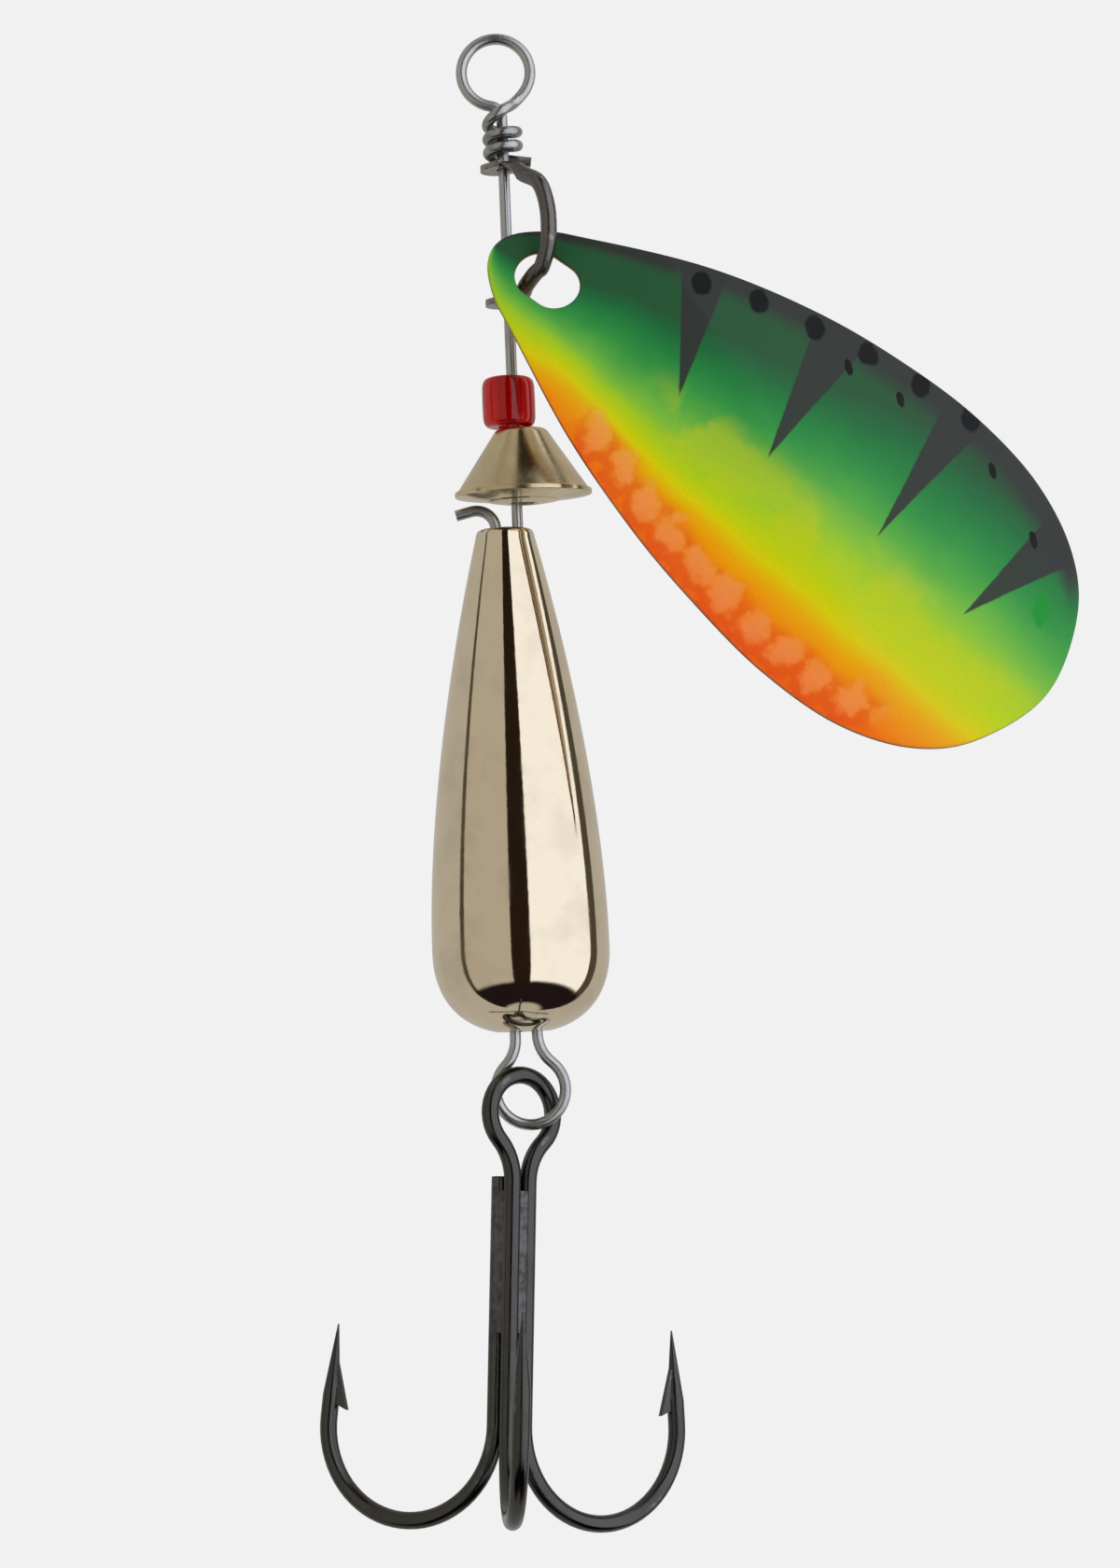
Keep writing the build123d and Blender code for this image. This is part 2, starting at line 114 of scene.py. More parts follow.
# how far the paint bands move towards green, by share of the blade's length
BAND_SHIFTS = (
    (0.0, 1.0),
    (0.08, 0.80),
    (0.20, 0.52),
    (0.355, 0.44),
    (0.485, 0.32),
    (0.615, 0.20),
    (0.88, 0.11),
)
SCALE_START = 6.5
SCALE_END = 28.5
SCALE_PITCH = 2.15
SCALE_INSET = 1.45
SCALE_HALF_LONG = 0.95
SCALE_HALF_WIDE = 0.85
PAINT_COAT = 0.14
# long and short radii of a spot, a fleck and the green spot, and their turn in degrees
SPOT_SHAPE = (0.72, 0.54, -48)
FLECK_SHAPE = (0.50, 0.20, -40)
GREEN_SPOT = (31.6, 3.2)
GREEN_SPOT_SHAPE = (0.95, 0.42, -55)

# ---- bead, bell and body, in millimetres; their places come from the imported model's boxes ----
BELL_LEAN = math.radians(3.0)
BODY_TOP_R = 1.34
BODY_FOOT_R = 1.45
BODY_BORE_R = 1.07
BODY_BORE_LIP = 0.06
BODY_WIDEST = 22.6
# where the body's three curves are pulled to, as (radius, height below its top)
BODY_END_PULL = (3.20, -26.6)
BODY_END_PULL_Z = -25.3
BODY_SIDE_PULL_Z = -15.5
BODY_NECK_PULL = (3.20, -6.85)
BODY_SHOULDER = (1.60, -0.42)
BODY_SHOULDER_PULL = (1.55, 0.0)
BELL_HEIGHT = 3.55
BEAD_BORE_R = 0.60
BEAD_EDGE_R = 0.62
BELL_TOP_FLAT_R = 1.06
# the bell's turned outline from the top of its bore: radius, height over the rim, rounding
BELL_OUTLINE = (
    (0.80, 3.55, 0.10),
    (0.80, -0.55, 0.10),
    (1.11, -0.55, 0.20),
    (1.90, -0.42, 0.10),
    (1.96, -0.36, 0.05),
    (3.70, -0.12, 0.07),
    (3.70, 0.14, 0.05),
    (3.55, 0.16, 0.04),
    (1.34, 3.48, 0.24),
)

# ---- finishes and painted shade: pitch of the turning marks, the wraps' reach below the eye's top where shade is painted, share of worn corners ----
TOOL_RING_PITCH = 0.00009
WRAPS_LOW = 0.0075
WRAPS_HIGH = 0.0044
WRAPS_FADE = 0.0012
CORNER_WEAR = 0.5

# ---- stage ----
CAMERA_SIDE = 1.736 * MM
CAMERA_HEIGHT = -38.934 * MM
CAMERA_LENS = 62.857
FLOOR_STEPS = 96
FLOOR_RINGS = (0.5, 0.9, 1.0)
# name, place, size and power
SOFT_LIGHTS = (
    ("Key light", (0.30, -0.35, 0.22), 0.30, 0.8),
    ("Fill light", (-0.35, -0.30, 0.05), 0.35, 0.4),
)
SKY_WALL = (0.50, 0.49, 0.47, 1)
# soft boxes and the dark gaps between them: from and to in degrees round the lure, 0 at its front,
# then from and to in degrees upwards, the softness of the border and the light
SOFT_BOXES = (
    (-77.0, -12.0, -38.0, 84.0, 2.0, (0.50, 0.48, 0.44, 1)),
    (13.0, 103.0, -38.0, 84.0, 2.0, (1.10, 1.16, 1.29, 1)),
    (-12.0, 13.0, -60.0, 88.0, 2.0, (0.02, 0.012, 0.008, 1)),
    (-26.0, 64.0, 57.0, 88.0, 5.0, (0.02, 0.012, 0.008, 1)),
    (-84.0, -77.0, -60.0, 84.0, 2.0, (0.08, 0.07, 0.05, 1)),
    (103.0, 118.0, -60.0, 84.0, 2.0, (0.08, 0.07, 0.05, 1)),
    (-84.0, 118.0, -75.0, -38.0, 3.0, (0.015, 0.01, 0.012, 1)),
)


def display(r, g, b, a=1.0):
    """A colour picked on screen, 0 to 255, as linear light."""
    def linear(value):
        value /= 255.0
        return value / 12.92 if value <= 0.04045 else ((value + 0.055) / 1.055) ** 2.4
    return (linear(r), linear(g), linear(b), a)


# ------------------------------------------------------------------ settings


def colour_property(name, description, default):
    return FloatVectorProperty(
        name=name, description=description, default=default, subtype="COLOR", size=4, min=0, max=1
    )


class SPINNER_PG_paint(PropertyGroup):
    """Colours of the blade's paint, from its belly to its back."""

    belly: colour_property("Belly", "Orange along the lower edge", display(240, 110, 6))
    flank: colour_property("Flank", "Yellow-green along the middle", display(186, 204, 8))
    back: colour_property("Back", "Deep green towards the upper edge", display(36, 126, 60))
    band: colour_property("Band", "Charcoal along the upper edge", display(50, 51, 49))
    spots: colour_property("Spots", "Black of the oval spots", display(8, 10, 8))
    gloss: FloatProperty(
        name="Gloss roughness", description="Roughness of the clear coat", default=0.06, min=0, max=1,
        subtype="FACTOR",
    )


class SPINNER_PG_metal(PropertyGroup):
    """Colours of the bare and plated metals."""

    wire: colour_property("Wire", "Bright drawn spring wire", (0.52, 0.515, 0.50, 1))
    clevis: colour_property("Clevis", "Dark nickel on the clevis", (0.175, 0.160, 0.145, 1))
    gold: colour_property("Gold", "Pale gold plate on the body", (0.83, 0.71, 0.52, 1))
    brass: colour_property("Brass", "Brass of the bell", (0.72, 0.58, 0.35, 1))
    hook: colour_property("Hook", "Black nickel on the hook", (0.086, 0.082, 0.076, 1))
    glass: colour_property("Glass", "Red of the bead", (0.78, 0.004, 0.006, 1))


class SPINNER_PG_stage(PropertyGroup):
    """Camera, lights and floor."""

    distance: FloatProperty(
        name="Camera distance", description="From the camera to the lure", default=0.220, min=0.05,
        unit="LENGTH",
    )
    tilt: FloatProperty(
        name="Camera tilt", description="How far the camera looks up", default=math.radians(5.0),
        unit="ROTATION",
    )
    roll: FloatProperty(
        name="Camera roll", description="Roll about the view direction", default=math.radians(-2.26),
        unit="ROTATION",
    )
    floor_drop: FloatProperty(
        name="Floor drop", description="Floor below the hook's bends", default=0.080, min=0.001, unit="LENGTH"
    )
    floor_radius: FloatProperty(
        name="Floor radius", description="Radius of the round floor", default=0.34, min=0.01, unit="LENGTH"
    )
    backdrop: FloatProperty(
        name="Backdrop", description="Brightness of the plain backdrop", default=0.8796, min=0, max=1
    )
    lathe_steps: IntProperty(
        name="Turning steps", description="Divisions round the turned pieces", default=192, min=24, max=512
    )


def settings():
    return bpy.context.scene.spinner_paint, bpy.context.scene.spinner_metal, bpy.context.scene.spinner_stage


# ------------------------------------------------------------------ shader shorthand


class Graph:
    """Short calls that add and join nodes in one shader tree."""

    def __init__(self, tree):
        self.tree = tree

    def feed(self, value, socket):
        if isinstance(value, bpy.types.NodeSocket):
            self.tree.links.new(value, socket)
        elif value is not None:
            socket.default_value = value

    def node(self, kind, options=None, **inputs):
        made = self.tree.nodes.new("ShaderNode" + kind)
        for name, value in (options or {}).items():
            setattr(made, name, value)
        for name, value in inputs.items():
            self.feed(value, made.inputs[name.replace("_", " ")])
        return made

    def surface_place(self):
        """Where a point lies in the object's own metres."""
        return self.node("TexCoord").outputs["Object"]

    def math(self, operation, a, b=0.0, c=0.0, clamp=False):
        made = self.tree.nodes.new("ShaderNodeMath")
        made.operation = operation
        made.use_clamp = clamp
        for value, socket in zip((a, b, c), made.inputs):
            self.feed(value, socket)
        return made.outputs[0]

    def vector_math(self, operation, a, b=(0, 0, 0)):
        made = self.tree.nodes.new("ShaderNodeVectorMath")
        made.operation = operation
        self.feed(a, made.inputs[0])
        self.feed(b, made.inputs[1])
        return made.outputs[0]

    def smooth(self, value, low, high, to_low=0.0, to_high=1.0):
        made = self.tree.nodes.new("ShaderNodeMapRange")
        made.interpolation_type = "SMOOTHSTEP"
        for item, socket in zip((value, low, high, to_low, to_high), made.inputs):
            self.feed(item, socket)
        return made.outputs[0]

    def window(self, value, low, high, soft):
        """1 between low and high, falling to 0 over soft on each side."""
        rise = self.smooth(value, low - soft / 2, low + soft / 2)
        fall = self.smooth(value, high - soft / 2, high + soft / 2, 1.0, 0.0)
        return self.math("MULTIPLY", rise, fall)

    def mix(self, share, a, b):
        made = self.tree.nodes.new("ShaderNodeMix")
        made.data_type = "RGBA"
        self.feed(share, made.inputs[0])
        for socket in made.inputs:
            if socket.type == "RGBA" and socket.name == "A":
                self.feed(a, socket)
            if socket.type == "RGBA" and socket.name == "B":
                self.feed(b, socket)
        return [s for s in made.outputs if s.type == "RGBA"][0]

    def noise(self, vector, scale, detail=3.0, rough=0.5, stretch=None):
        if stretch:
            vector = self.vector_math("MULTIPLY", vector, stretch)
        made = self.node("TexNoise", None, Vector=vector, Scale=scale, Detail=detail, Roughness=rough)
        return made.outputs[0]

    def ramp(self, share, stops):
        made = self.tree.nodes.new("ShaderNodeValToRGB")
        elements = made.color_ramp.elements
        while len(elements) < len(stops):
            elements.new(0.5)
        for element, (place, colour) in zip(elements, stops):
            element.position = place
            element.color = colour
        self.feed(share, made.inputs[0])
        return made.outputs[0]

    def group(self, tree, **inputs):
        made = self.tree.nodes.new("ShaderNodeGroup")
        made.node_tree = tree
        for name, value in inputs.items():
            self.feed(value, made.inputs[name.replace("_", " ")])
        return made.outputs


def new_group(name, inputs, outputs):
    """An empty shader node group with its sockets, as (tree, graph, input node, output node)."""
    tree = bpy.data.node_groups.new(name, "ShaderNodeTree")
    for socket, kind, default in inputs:
        made = tree.interface.new_socket(name=socket, in_out="INPUT", socket_type="NodeSocket" + kind)
        if default is not None:
            made.default_value = default
    for socket, kind in outputs:
        tree.interface.new_socket(name=socket, in_out="OUTPUT", socket_type="NodeSocket" + kind)
    graph = Graph(tree)
    return tree, graph, tree.nodes.new("NodeGroupInput"), tree.nodes.new("NodeGroupOutput")


def shared_group(name, build):
    return bpy.data.node_groups.get(name) or build(name)


def build_handling_marks(name):
    """Fine scratches, smudges and a gentle ripple, as a roughness, a tint share and a normal."""
    tree, g, given, out = new_group(
        name,
        [
            ("Roughness", "Float", 0.2),
            ("Smudge", "Float", 0.1),
            ("Scratch", "Float", 0.1),
            ("Ripple", "Float", 0.1),
            ("Along", "Vector", (1.0, 1.0, 0.15)),
        ],
        [("Roughness", "Float"), ("Tint", "Float"), ("Normal", "Vector")],
    )
    place = g.surface_place()
    smudge = g.noise(place, 380.0, 4.0, 0.6)
    smudge = g.smooth(smudge, 0.42, 0.70)
    lines = g.vector_math("MULTIPLY", place, given.outputs["Along"])
    scratch = g.noise(lines, 9000.0, 2.0, 0.7)
    scratch = g.smooth(scratch, 0.50, 0.85)
    rough = g.math("MULTIPLY_ADD", smudge, given.outputs["Smudge"], given.outputs["Roughness"])
    rough = g.math("MULTIPLY_ADD", scratch, given.outputs["Scratch"], rough, clamp=True)
    ripple = g.noise(place, 520.0, 2.0, 0.4)
    first = g.node("Bump", None, Strength=given.outputs["Ripple"], Distance=0.00001, Height=ripple)
    second = g.node(
        "Bump", None, Strength=given.outputs["Scratch"], Distance=0.000002, Height=scratch,
        Normal=first.outputs[0],
    )
    g.feed(rough, out.inputs["Roughness"])
    g.feed(smudge, out.inputs["Tint"])
    g.feed(second.outputs[0], out.inputs["Normal"])
    return tree


def build_edge_wear(name):
    """A mask that is 1 where corners stand out and 0 on flats."""
    tree, g, given, out = new_group(name, [("Reach", "Float", 0.5)], [("Mask", "Float")])
    pointiness = g.node("NewGeometry").outputs["Pointiness"]
    speckle = g.noise(g.surface_place(), 2400.0, 3.0, 0.6)
    edge = g.smooth(pointiness, 0.53, 0.60)
    edge = g.math("MULTIPLY", edge, g.smooth(speckle, 0.35, 0.6))
    edge = g.math("MULTIPLY", edge, given.outputs["Reach"], clamp=True)
    g.feed(edge, out.inputs["Mask"])
    return tree


def plain_material(name):
    """A material with one Principled shader, as (material, graph, shader)."""
    material = bpy.data.materials.new(name)
    material.use_nodes = True
    graph = Graph(material.node_tree)
    return material, graph, material.node_tree.nodes["Principled BSDF"]


def plated_metal(name, colour, worn, roughness, smudge, scratch, ripple, along=(1, 1, 0.15)):
    """A bare or plated metal with handling marks and worn corners."""
    material, g, shader = plain_material(name)
    shader.inputs["Metallic"].default_value = 1.0
    marks = g.group(
        shared_group("Handling marks", build_handling_marks),
        Roughness=roughness, Smudge=smudge, Scratch=scratch, Ripple=ripple, Along=along,
    )
    edges = g.group(shared_group("Edge wear", build_edge_wear), Reach=CORNER_WEAR)
    dulled = tuple(c * 0.82 for c in colour[:3]) + (1,)
    tone = g.mix(g.math("MULTIPLY", marks["Tint"], 0.6), colour, dulled)
    tone = g.mix(edges["Mask"], tone, worn)
    g.feed(tone, shader.inputs["Base Color"])
    g.feed(marks["Roughness"], shader.inputs["Roughness"])
    g.feed(marks["Normal"], shader.inputs["Normal"])
    return material, g, shader, tone


# ------------------------------------------------------------------ mesh helpers


def add_piece(name, verts, faces, body, replaces):
    """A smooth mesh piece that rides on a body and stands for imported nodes."""
    mesh = bpy.data.meshes.new(name)
    mesh.from_pydata([tuple(v) for v in verts], [], faces)
    mesh.update()
    piece = bpy.data.objects.new(name, mesh)
    bpy.context.scene.collection.objects.link(piece)
    mesh.polygons.foreach_set("use_smooth", [True] * len(mesh.polygons))
    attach(piece, body)
    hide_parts(*replaces)
    return piece


def turned(profile, steps):
    """Vertices and faces of a closed profile of (radius, height) points turned about Z."""
    verts = []
    for radius, height in profile:
        for i in range(steps):
            a = 2 * math.pi * i / steps
            verts.append(Vector((radius * math.cos(a), radius * math.sin(a), height)))
    faces = []
    count = len(profile)
    for k in range(count):
        ring, after = k * steps, ((k + 1) % count) * steps
        for i in range(steps):
            j = (i + 1) % steps
            faces.append((ring + i, ring + j, after + j, after + i))
    return verts, faces


def bezier(points, steps):
    """Points along a Bezier curve of any degree, without its first point."""
    out = []
    for i in range(1, steps + 1):
        t = i / steps
        level = [Vector(p) for p in points]
        while len(level) > 1:
            level = [a.lerp(b, t) for a, b in zip(level[:-1], level[1:])]
        out.append(tuple(level[0]))
    return out


def rounded(corners, steps):
    """Profile through corners given as (radius, height, rounding)."""
    out = []
    count = len(corners)
    for k, (r, z, rounding) in enumerate(corners):
        here = Vector((r, z))
        if rounding <= 0:
            out.append((r, z))
            continue
        before = Vector(corners[k - 1][:2]) - here
        after = Vector(corners[(k + 1) % count][:2]) - here
        a = here + before.normalized() * min(rounding, before.length * 0.45)
        b = here + after.normalized() * min(rounding, after.length * 0.45)
        out.append(tuple(a))
        out += bezier([a, here, b], steps)
    return out


# ------------------------------------------------------------------ blade


def spline_at(points, x):
    """Catmull-Rom value of y at x through (x, y) points."""
    for k in range(len(points) - 1):
        x0, y0 = points[k]
        x1, y1 = points[k + 1]
        if x0 <= x <= x1:
            xa, ya = points[max(k - 1, 0)]
            xb, yb = points[min(k + 2, len(points) - 1)]
            t = (x - x0) / (x1 - x0)
            m0 = (y1 - ya) / max(x1 - xa, 1e-6) * (x1 - x0)
            m1 = (yb - y0) / max(xb - x0, 1e-6) * (x1 - x0)
            h = 2 * t**3 - 3 * t**2 + 1
            return h * y0 + (t**3 - 2 * t**2 + t) * m0 + (3 * t**2 - 2 * t**3) * y1 + (t**3 - t**2) * m1
    return 0.0


def blade_axes():
    along = Vector((math.cos(BLADE_DROP), 0, -math.sin(BLADE_DROP)))
    across = Vector((math.sin(BLADE_DROP), 0, math.cos(BLADE_DROP)))
    viewer = Vector((0, -1, 0))
    along = along * math.cos(BLADE_PITCH) + viewer * math.sin(BLADE_PITCH)
    across = across * math.cos(BLADE_TILT) - viewer * math.sin(BLADE_TILT)
    out = along.cross(across).normalized()
    across = out.cross(along)
    return along.normalized(), across, out


def blade_height(s, w, depth=0.0):
    """Height of the dome over the hole's plane, depth below its outer face."""
    middle = BLADE_LENGTH / 2 - BLADE_HOLE_IN
    hole_drop = BLADE_ARC_LONG - math.sqrt(BLADE_ARC_LONG**2 - middle**2)
    cross = math.sqrt((BLADE_ARC_CROSS - depth) ** 2 - w**2) - BLADE_ARC_CROSS
    return math.sqrt((BLADE_ARC_LONG + cross) ** 2 - (s - middle) ** 2) - BLADE_ARC_LONG + hole_drop


def blade_outline():
    """The rim as (s, w) points, one for each spoke, evenly spaced along it."""
    side = []
    for share, half in BLADE_STATIONS:
        side.append((share * BLADE_LENGTH - BLADE_HOLE_IN, half * BLADE_WIDTH / 2))
    loop = side + [(s, -w) for s, w in reversed(side[1:-1])]
    count = len(loop)
    dense = []
    for k in range(count):
        p = [Vector(loop[(k + i - 1) % count]) for i in range(4)]
        for i in range(24):
            t = i / 24
            point = 0.5 * (
                2 * p[1]
                + (p[2] - p[0]) * t
                + (2 * p[0] - 5 * p[1] + 4 * p[2] - p[3]) * t**2
                + (3 * p[1] - p[0] - 3 * p[2] + p[3]) * t**3
            )
            dense.append(point)
    lengths = [0.0]
    for a, b in zip(dense, dense[1:] + dense[:1]):
        lengths.append(lengths[-1] + (b - a).length)
    out = []
    k = 0
    for i in range(BLADE_SPOKES):
        want = lengths[-1] * i / BLADE_SPOKES
        while lengths[k + 1] < want:
            k += 1
        share = (want - lengths[k]) / (lengths[k + 1] - lengths[k])
        out.append(dense[k].lerp(dense[(k + 1) % len(dense)], share))
    return out


def half_width(s):
    share = (s + BLADE_HOLE_IN) / BLADE_LENGTH
    return max(spline_at(BLADE_STATIONS, min(max(share, 0), 1)) * BLADE_WIDTH / 2, 0.4)


def hole_point(angle):
    """Edge of the oval hole in the given direction from its centre."""
    straight = (BLADE_HOLE_LONG - BLADE_HOLE_WIDE) / 2
    radius = BLADE_HOLE_WIDE / 2
    direction = Vector((math.cos(angle), math.sin(angle)))
    if abs(direction.x) * radius <= straight * abs(direction.y):
        return direction * (radius / abs(direction.y))
    centre = Vector((math.copysign(straight, direction.x), 0))
    along = direction.dot(centre)
    return direction * (along + math.sqrt(along**2 - centre.length_squared + radius**2))


def blade_section():
    """Steps round the sheet's cut: what each is measured from, how far, and its depth."""
    section = [("face", k / BLADE_RINGS, 0.0) for k in range(BLADE_RINGS + 1)]
    turns = [math.pi / 2 * k / EDGE_STEPS for k in range(EDGE_STEPS + 1)]
    for a in turns[1:]:
        section.append(("rim", EDGE_ROUND * (1 - math.sin(a)), EDGE_ROUND * (1 - math.cos(a))))
    for a in turns[:-1]:
        section.append(("rim", EDGE_ROUND * (1 - math.cos(a)), BLADE_THICK - EDGE_ROUND * (1 - math.sin(a))))
    section += [("face", k / BLADE_RINGS, BLADE_THICK) for k in range(BLADE_RINGS, -1, -1)]
    for a in turns[1:]:
        section.append(("hole", EDGE_ROUND * (1 - math.sin(a)), BLADE_THICK - EDGE_ROUND * (1 - math.cos(a))))
    for a in turns[:-1]:
        section.append(("hole", EDGE_ROUND * (1 - math.cos(a)), EDGE_ROUND * (1 - math.sin(a))))
    return section


def build_blade_mesh():
    """Vertices, faces, each vertex's (s, w) and each face's finish: 0 paint, 1 cut edge, 2 back."""
    along, across, out = blade_axes()
    rim = blade_outline()
    holes = [hole_point(math.atan2(p.y, p.x)) for p in rim]
    section = blade_section()
    verts, place, faces, finish = [], [], [], []
    for kind, amount, depth in section:
        for hole, edge in zip(holes, rim):
            way = (edge - hole).normalized()
            if kind == "rim":
                point = edge - way * amount
            elif kind == "hole":
                point = hole + way * amount
            else:
                point = (hole + way * EDGE_ROUND).lerp(edge - way * EDGE_ROUND, amount)
            height = blade_height(point.x, point.y, depth)
            verts.append(BLADE_HOLE + (along * point.x + across * point.y + out * height) * MM)
            place.append((point.x, point.y))
    count = len(rim)
    for k, (kind, _, depth) in enumerate(section):
        here, after = k * count, ((k + 1) % len(section)) * count
        for i in range(count):
            j = (i + 1) % count
            faces.append((here + i, here + j, after + j, after + i))
            on_back = kind == "face" and depth > 0
            finish.append(2 if on_back else int(kind != "face" and depth > EDGE_ROUND / 2))
    return verts, faces, place, finish


def spike(g, s, w, wobble, tip, left, right):
    """Mask of a dark spike that widens from its tip towards the blade's back."""
    sides = []
    for end, turn in ((left, -1), (right, 1)):
        way = (Vector(end) - Vector(tip)).normalized()
        normal = Vector((-way.y, way.x)) * turn
        reach = g.math("MULTIPLY", g.math("SUBTRACT", s, tip[0]), normal.x)
        reach = g.math("MULTIPLY_ADD", g.math("SUBTRACT", w, tip[1]), normal.y, reach)
        sides.append(reach)
    inside = g.math("ADD", g.math("MINIMUM", *sides), wobble)
    return g.smooth(inside, -0.05, 0.05)


def oval(g, s, w, wobble, centre, long_r, short_r, turn):
    """Mask of an oval spot on the blade, its long radius turned from the blade's length."""
    a = math.radians(turn)
    ds, dw = g.math("SUBTRACT", s, centre[0]), g.math("SUBTRACT", w, centre[1])
    x = g.math("ADD", g.math("MULTIPLY", ds, math.cos(a)), g.math("MULTIPLY", dw, math.sin(a)))
    y = g.math("SUBTRACT", g.math("MULTIPLY", dw, math.cos(a)), g.math("MULTIPLY", ds, math.sin(a)))
    x, y = g.math("DIVIDE", x, long_r), g.math("DIVIDE", y, short_r)
    far = g.math("SQRT", g.math("ADD", g.math("MULTIPLY", x, x), g.math("MULTIPLY", y, y)))
    far = g.math("ADD", far, g.math("MULTIPLY", wobble, 3.0))
    return g.smooth(far, 0.85, 1.15, 1.0, 0.0)


def either(g, masks):
    """Mask of every place that is in one of the masks."""
    total = masks[0]
    for mask in masks[1:]:
        total = g.math("MAXIMUM", total, mask)
    return total


def blade_paint(paint):
    """Airbrushed paint: orange belly with scale marks, lime flank, green back, dark band and spikes."""
    material, g, shader = plain_material("Blade paint")
    place = g.node("UVMap", {"uv_map": "place"}).outputs[0]
    parts = g.node("SeparateXYZ", None, Vector=place).outputs
    s, w = parts[0], parts[1]
    rims = g.node("SeparateXYZ", None, Vector=g.node("UVMap", {"uv_map": "rim"}).outputs[0]).outputs
    share, inset = rims[0], rims[1]
    cloud = g.noise(place, 0.22, 4.0, 0.55)
    drift = g.math("MULTIPLY_ADD", cloud, 0.26, -0.13)
    wobble = g.math("MULTIPLY_ADD", g.noise(place, 1.6, 3.0, 0.6), 0.24, -0.12)

    # airbrushed bands, greener towards the hole and at its nose
    half = g.math("SUBTRACT", inset, w)
    rim_share = g.math("DIVIDE", w, half)
    shift = g.ramp(
        g.math("DIVIDE", g.math("ADD", s, BLADE_HOLE_IN), BLADE_LENGTH),
        [(stop, (amount, amount, amount, 1)) for stop, amount in BAND_SHIFTS],
    )
    belly_hold = g.smooth(s, -1.5, 8.0, 1.0, 0.30)
    shift = g.math("MULTIPLY", shift, g.smooth(share, -0.75, -0.35, belly_hold, 1.0))
    band_place = g.math("ADD", g.math("ADD", share, shift), g.math("MULTIPLY", drift, 0.7))
    band_place = g.math("MULTIPLY_ADD", band_place, 0.5, 0.5)
    colour = g.ramp(
        band_place,
        [
            (0.00, display(238, 90, 14)),
            (0.08, tuple(paint.belly)),
            (0.16, display(238, 140, 0)),
            (0.23, display(230, 166, 0)),
            (0.30, display(214, 200, 0)),
            (0.38, tuple(paint.flank)),
            (0.47, display(160, 198, 32)),
            (0.55, display(120, 184, 58)),
            (0.63, display(82, 164, 64)),
            (0.71, display(50, 144, 64)),
            (0.79, tuple(paint.back)),
            (0.87, display(30, 104, 56)),
            (0.95, display(38, 84, 50)),
        ],
    )
    band = g.smooth(g.math("ADD", rim_share, g.math("MULTIPLY", wobble, 0.2)), 0.72, 0.90)
    band = g.math("MULTIPLY", band, g.smooth(s, 31.4, 33.4, 0.95, 0.0))
    colour = g.mix(band, colour, tuple(paint.band))
    # lime blotches with a ragged border along the belly
    blotch = g.smooth(g.math("ADD", share, g.math("MULTIPLY", wobble, 1.5)), -0.52, -0.36)
    blotch = g.math("MULTIPLY", blotch, g.smooth(share, -0.16, 0.06, 1.0, 0.0))
    blotch = g.math("MULTIPLY", blotch, g.smooth(cloud, 0.42, 0.56))
    blotch = g.math("MULTIPLY", blotch, g.smooth(s, 7.0, 11.0))
    colour = g.mix(g.math("MULTIPLY", blotch, 0.45), colour, display(196, 200, 6))

    # row of scale marks along the belly's edge
    cell = g.math("DIVIDE", g.math("SUBTRACT", s, SCALE_START), SCALE_PITCH)
    in_cell = g.math("MULTIPLY", g.math("SUBTRACT", g.math("FRACT", cell), 0.5), SCALE_PITCH)
    row = g.window(s, SCALE_START, SCALE_END, 1.5)
    jitter = g.math("MULTIPLY_ADD", g.noise(place, 0.45, 1.0), 1.2, -0.6)
    rise = g.math("SUBTRACT", g.math("ADD", inset, jitter), SCALE_INSET)
    x, y = g.math("DIVIDE", in_cell, SCALE_HALF_LONG), g.math("DIVIDE", rise, SCALE_HALF_WIDE)
    far = g.math("SQRT", g.math("ADD", g.math("MULTIPLY", x, x), g.math("MULTIPLY", y, y)))
    far = g.math("ADD", far, g.math("MULTIPLY", wobble, 5.5))
    far = g.math("ADD", far, g.math("MULTIPLY_ADD", g.noise(place, 0.6, 1.0), 1.2, -0.6))
    scale_mark = g.math("MULTIPLY", g.smooth(far, 0.45, 1.25, 1.0, 0.0), row)
    notch = g.math("MULTIPLY", g.window(far, 0.95, 1.75, 0.5), row)
    notch = g.math("MULTIPLY", notch, g.smooth(rise, 0.2, 1.2, 1.0, 0.0))
    colour = g.mix(g.math("MULTIPLY", notch, 0.55), colour, display(226, 70, 20))
    colour = g.mix(g.math("MULTIPLY", scale_mark, 0.48), colour, display(240, 146, 90))

    # spikes, spots and flecks along the back
    ragged = g.math("MULTIPLY", wobble, 0.5)
    spikes = either(g, [spike(g, s, w, ragged, *corners) for corners in SPIKES])
    spikes = g.math("MULTIPLY", spikes, g.smooth(w, -1.2, -0.4))
    colour = g.mix(g.math("MULTIPLY", spikes, 0.96), colour, tuple(paint.band))
    spots = either(g, [oval(g, s, w, wobble, centre, *SPOT_SHAPE) for centre in SPOTS])
    flecks = either(g, [oval(g, s, w, wobble, centre, *FLECK_SHAPE) for centre in FLECKS])
    colour = g.mix(g.math("MAXIMUM", spots, flecks), colour, tuple(paint.spots))
    green_spot = oval(g, s, w, wobble, GREEN_SPOT, *GREEN_SPOT_SHAPE)
    colour = g.mix(g.math("MULTIPLY", green_spot, 0.8), colour, display(10, 140, 40))
    mottled = g.noise(place, 5.0, 4.0, 0.6)
    colour = g.mix(g.smooth(mottled, 0.3, 0.75, 0.0, 0.05), colour, (0, 0, 0, 1))

